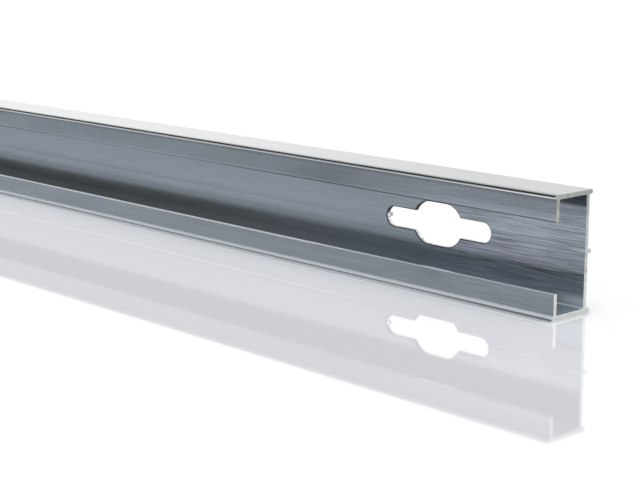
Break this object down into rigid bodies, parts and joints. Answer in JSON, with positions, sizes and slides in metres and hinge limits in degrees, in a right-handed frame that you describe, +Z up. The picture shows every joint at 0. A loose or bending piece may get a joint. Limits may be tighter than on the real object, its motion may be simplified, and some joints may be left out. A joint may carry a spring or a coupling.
{
  "type": "shower extension profile",
  "caption": "Lipped C-channel aluminium extrusion with wall-side ribs and double-ended keyhole slots, for widening a shower enclosure at the wall.",
  "frame": {"origin": "middle of the length and of the depth, on the outer face of the lower flange", "axes": "+X along the length, +Y towards the wall side with the ribs, +Z up through the height; the open side faces -Y"},
  "size_m": [2, 0.0192, 0.04],
  "materials": {
    "aluminium": "satin anodised silver, fine lines along the length, sawn ends"
  },
  "bodies": {
    "root": {"extension_profile": "aluminium"}
  },
  "joints": []
}
